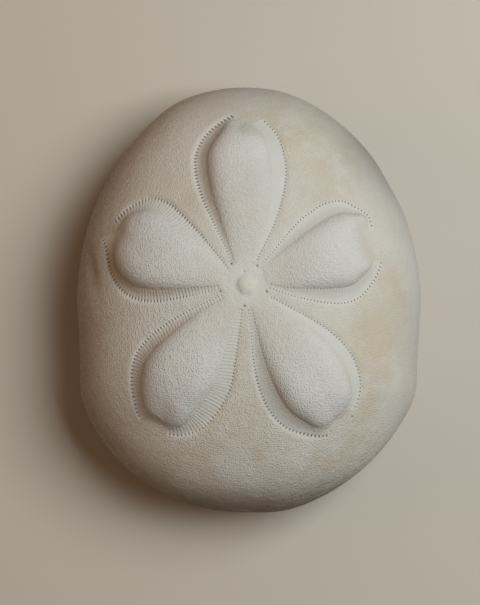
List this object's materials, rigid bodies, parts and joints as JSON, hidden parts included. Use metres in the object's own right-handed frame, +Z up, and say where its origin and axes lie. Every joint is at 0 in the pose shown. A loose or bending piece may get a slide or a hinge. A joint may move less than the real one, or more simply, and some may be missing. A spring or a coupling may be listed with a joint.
{
  "type": "sea biscuit",
  "caption": "Dry domed sea biscuit shell with raised petals between sunken pore bands on top, and a flat rim around a funnel to the mouth underneath.",
  "frame": {"origin": "middle of the shell's outline, on the surface that it rests on", "axes": "+Z up through the top, +Y towards the front petal along the shell's length, +X to the shell's right as seen from above"},
  "size_m": [0.097, 0.12, 0.052],
  "materials": {
    "shell": "matte, finely stippled chalky shell"
  },
  "bodies": {
    "root": {"shell": "shell"}
  },
  "joints": []
}
